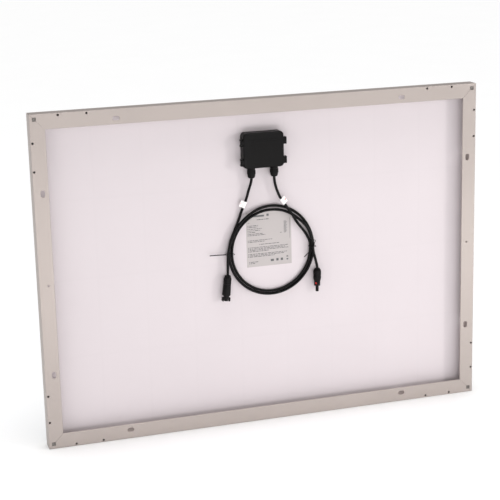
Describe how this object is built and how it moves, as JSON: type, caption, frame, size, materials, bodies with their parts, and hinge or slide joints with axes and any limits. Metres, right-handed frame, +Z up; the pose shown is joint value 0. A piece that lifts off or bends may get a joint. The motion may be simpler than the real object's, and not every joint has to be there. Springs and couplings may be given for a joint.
{
  "type": "photovoltaic module",
  "caption": "Framed photovoltaic module seen from behind, with a rear junction box and two coiled leads that end in plug connectors.",
  "frame": {"origin": "middle of the module's length and thickness, on the surface it stands on", "axes": "+Z up, +X along the long edge to the right as seen from behind, +Y out of the glass front (the junction box side faces -Y)"},
  "size_m": [0.925, 0.03, 0.67],
  "materials": {
    "anodised_aluminium": "warm silver, fine satin anodising",
    "die_cast": "rough die-cast grey",
    "solar_glass": "clear, lightly patterned low-iron glass",
    "encapsulant": "clear cured film",
    "silicon_cells": "blue-black silicon with fine silver grid lines",
    "tinned_copper": "bright tinned copper",
    "white_backsheet": "white matt laminated film",
    "edge_sealant": "pale grey cured silicone",
    "silver_label": "pale silver grey printed label",
    "black_plastic": "black moulded plastic, fine texture",
    "black_rubber": "dull black rubber",
    "brass": "bright stamped brass",
    "steel": "zinc-plated steel",
    "cable_jacket": "black cross-linked jacket, faint sheen",
    "white_sleeve": "white printed vinyl",
    "tie_coating": "black plastic-coated wire",
    "red_rubber": "red silicone ring"
  },
  "bodies": {
    "module": {"frame_bottom": "anodised_aluminium", "frame_top": "anodised_aluminium", "frame_left": "anodised_aluminium", "frame_right": "anodised_aluminium", "corner_key_bottom_left": "die_cast", "corner_key_top_left": "die_cast", "corner_key_top_right": "die_cast", "corner_key_bottom_right": "die_cast", "front_glass": "solar_glass", "front_encapsulant": "encapsulant", "cell_string_1": "silicon_cells", "cell_string_2": "silicon_cells", "cell_string_3": "silicon_cells", "cell_string_4": "silicon_cells", "string_link_upper": "tinned_copper", "string_link_lower": "tinned_copper", "bus_ribbon_negative": "tinned_copper", "bus_ribbon_middle": "tinned_copper", "bus_ribbon_positive": "tinned_copper", "rear_encapsulant": "encapsulant", "backsheet": "white_backsheet", "edge_seal": "edge_sealant", "rating_label": "silver_label", "junction_box_glue": "black_rubber", "junction_box_base": "black_plastic", "lid_gasket": "black_rubber", "terminal_negative": "brass", "terminal_middle": "brass", "terminal_positive": "brass", "bypass_diode_negative": "black_plastic", "bypass_diode_positive": "black_plastic", "lid_hinge_pin_upper": "steel", "lid_hinge_pin_lower": "steel", "gland_body_negative": "black_plastic", "gland_body_positive": "black_plastic", "lead_negative": "cable_jacket", "lead_positive": "cable_jacket", "polarity_label_negative": "white_sleeve", "polarity_label_positive": "white_sleeve", "wire_tie_left": "tie_coating", "wire_tie_right": "tie_coating", "plug_housing": "black_plastic", "plug_contact_pin": "tinned_copper", "socket_housing": "black_plastic", "socket_sealing_ring": "red_rubber", "socket_contact": "tinned_copper"},
    "lid": {"junction_box_lid": "black_plastic"},
    "gland_seal_negative": {"gland_seal_negative": "black_rubber"},
    "gland_nut_negative": {"gland_nut_negative": "black_plastic"},
    "clamp_screw_negative": {"clamp_screw_negative": "steel"},
    "gland_seal_positive": {"gland_seal_positive": "black_rubber"},
    "gland_nut_positive": {"gland_nut_positive": "black_plastic"},
    "clamp_screw_positive": {"clamp_screw_positive": "steel"},
    "plug_seal": {"plug_seal": "black_rubber"},
    "plug_nut": {"plug_nut": "black_plastic"},
    "socket_seal": {"socket_seal": "black_rubber"},
    "socket_nut": {"socket_nut": "black_plastic"},
    "plug_snap_arm_left": {"plug_snap_arm_left": "black_plastic"},
    "plug_snap_arm_right": {"plug_snap_arm_right": "black_plastic"}
  },
  "joints": [
    {"name": "lid_swing", "type": "hinge", "parent": "module", "child": "lid", "pos_m": [-0.04575, -0.01095, 0.5665], "axis": [0, 0, -1], "range_deg": [0, 115]},
    {"name": "gland_travel_negative", "type": "slide", "parent": "module", "child": "gland_seal_negative", "axis": [0, 0, -1], "range_m": [0, 0.003]},
    {"name": "gland_turn_negative", "type": "hinge", "parent": "gland_seal_negative", "child": "gland_nut_negative", "pos_m": [-0.024, -0.003, 0.518], "axis": [0, 0, -1], "range_deg": [0, 720]},
    {"name": "clamp_screw_turn_negative", "type": "hinge", "parent": "module", "child": "clamp_screw_negative", "pos_m": [-0.024, -0.00805, 0.5473], "axis": [0, -1, 0], "continuous": true},
    {"name": "gland_travel_positive", "type": "slide", "parent": "module", "child": "gland_seal_positive", "axis": [0, 0, -1], "range_m": [0, 0.003]},
    {"name": "gland_turn_positive", "type": "hinge", "parent": "gland_seal_positive", "child": "gland_nut_positive", "pos_m": [0.024, -0.003, 0.518], "axis": [0, 0, -1], "range_deg": [0, 720]},
    {"name": "clamp_screw_turn_positive", "type": "hinge", "parent": "module", "child": "clamp_screw_positive", "pos_m": [0.024, -0.00805, 0.5473], "axis": [0, -1, 0], "continuous": true},
    {"name": "plug_seal_travel", "type": "slide", "parent": "module", "child": "plug_seal", "axis": [0.1045, 0, 0.9945], "range_m": [0, 0.003]},
    {"name": "plug_nut_turn", "type": "hinge", "parent": "plug_seal", "child": "plug_nut", "pos_m": [-0.07995, -0.00225, 0.30416], "axis": [0.1045, 0, 0.9945], "range_deg": [0, 720]},
    {"name": "socket_seal_travel", "type": "slide", "parent": "module", "child": "socket_seal", "axis": [0.0175, 0, 0.9998], "range_m": [0, 0.003]},
    {"name": "socket_nut_turn", "type": "hinge", "parent": "socket_seal", "child": "socket_nut", "pos_m": [0.11323, -0.00225, 0.2992], "axis": [0.0175, 0, 0.9998], "range_deg": [0, 720]},
    {"name": "plug_snap_arm_left_flex", "type": "hinge", "parent": "module", "child": "plug_snap_arm_left", "pos_m": [-0.0876, -0.00225, 0.2753], "axis": [0, -1, 0], "range_deg": [0, 3], "stiffness_Nm_per_rad": 0.02},
    {"name": "plug_snap_arm_right_flex", "type": "hinge", "parent": "module", "child": "plug_snap_arm_right", "pos_m": [-0.07845, -0.00225, 0.27434], "axis": [0, 1, 0], "range_deg": [0, 3], "stiffness_Nm_per_rad": 0.02}
  ],
  "couplings": [
    {"joint": "gland_turn_negative", "follows": "gland_travel_negative", "rad_per_m": 4188.8},
    {"joint": "gland_turn_positive", "follows": "gland_travel_positive", "rad_per_m": 4188.8},
    {"joint": "plug_nut_turn", "follows": "plug_seal_travel", "rad_per_m": 4188.8},
    {"joint": "socket_nut_turn", "follows": "socket_seal_travel", "rad_per_m": 4188.8}
  ]
}
